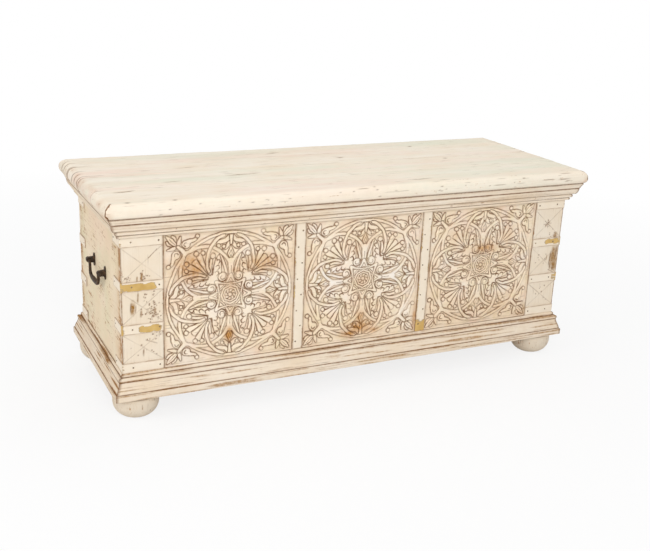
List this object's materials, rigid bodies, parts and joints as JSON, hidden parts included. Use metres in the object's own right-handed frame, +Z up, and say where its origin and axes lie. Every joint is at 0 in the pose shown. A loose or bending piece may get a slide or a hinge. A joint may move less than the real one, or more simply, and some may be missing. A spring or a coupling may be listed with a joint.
{
  "type": "carved wooden trunk",
  "caption": "Long low storage trunk with carved front panels, a hinged plank lid, metal corner straps, drop handles and turned bun feet.",
  "frame": {"origin": "on the floor under the middle of the trunk", "axes": "+X along the length to the right as seen from the front, +Y from the carved front to the back, +Z up"},
  "size_m": [1.162, 0.444, 0.473],
  "materials": {
    "whitewashed_wood": "worn matt limewash",
    "foot_wood": "worn matt limewash",
    "bare_wood": "bare sawn wood",
    "strap_brass": "painted, worn to brass",
    "black_iron": "dark forged"
  },
  "bodies": {
    "case": {"back_board_lower": "whitewashed_wood", "back_board_upper": "whitewashed_wood", "base_moulding_back": "whitewashed_wood", "base_moulding_front": "whitewashed_wood", "base_moulding_left": "whitewashed_wood", "base_moulding_right": "whitewashed_wood", "bottom_plank_back": "bare_wood", "bottom_plank_front": "bare_wood", "bottom_plank_middle": "bare_wood", "bun_foot_back_left": "foot_wood", "bun_foot_back_right": "foot_wood", "bun_foot_front_left": "foot_wood", "bun_foot_front_right": "foot_wood", "carved_panel_centre": "whitewashed_wood", "carved_panel_left": "whitewashed_wood", "carved_panel_right": "whitewashed_wood", "case_hinge_nails": "black_iron", "corner_straps_back_left": "strap_brass", "corner_straps_back_right": "strap_brass", "corner_straps_front_left": "strap_brass", "corner_straps_front_right": "strap_brass", "end_board_left": "whitewashed_wood", "end_board_right": "whitewashed_wood", "front_stile_left": "whitewashed_wood", "front_stile_right": "whitewashed_wood", "handle_left_front_plate": "black_iron", "handle_left_rear_plate": "black_iron", "handle_nails": "black_iron", "handle_right_front_plate": "black_iron", "handle_right_rear_plate": "black_iron", "hinge_left_case_leaf": "black_iron", "hinge_left_pin": "black_iron", "hinge_right_case_leaf": "black_iron", "hinge_right_pin": "black_iron", "panel_strap_left": "strap_brass", "panel_strap_right": "strap_brass", "rim_moulding_back": "whitewashed_wood", "rim_moulding_front": "whitewashed_wood", "rim_moulding_left": "whitewashed_wood", "rim_moulding_right": "whitewashed_wood", "strap_nails": "black_iron"},
    "lid": {"hinge_left_lid_leaf": "black_iron", "hinge_right_lid_leaf": "black_iron", "lid_batten_left": "bare_wood", "lid_batten_right": "bare_wood", "lid_hinge_nails": "black_iron", "lid_moulding_back": "whitewashed_wood", "lid_moulding_front": "whitewashed_wood", "lid_moulding_left": "whitewashed_wood", "lid_moulding_right": "whitewashed_wood", "lid_plank_1": "whitewashed_wood", "lid_plank_2": "whitewashed_wood", "lid_plank_3": "whitewashed_wood", "lid_plank_4": "whitewashed_wood"},
    "left_bail": {"handle_left_bail": "black_iron"},
    "right_bail": {"handle_right_bail": "black_iron"}
  },
  "joints": [
    {"name": "lid_hinge", "type": "hinge", "parent": "case", "child": "lid", "pos_m": [0, 0.2, 0.4143], "axis": [-1, 0, 0], "range_deg": [0, 105]},
    {"name": "left_bail_swing", "type": "hinge", "parent": "case", "child": "left_bail", "pos_m": [-0.558, -0.006, 0.284], "axis": [0, 1, 0], "range_deg": [-8, 165]},
    {"name": "right_bail_swing", "type": "hinge", "parent": "case", "child": "right_bail", "pos_m": [0.558, -0.006, 0.284], "axis": [0, -1, 0], "range_deg": [-8, 165]}
  ]
}
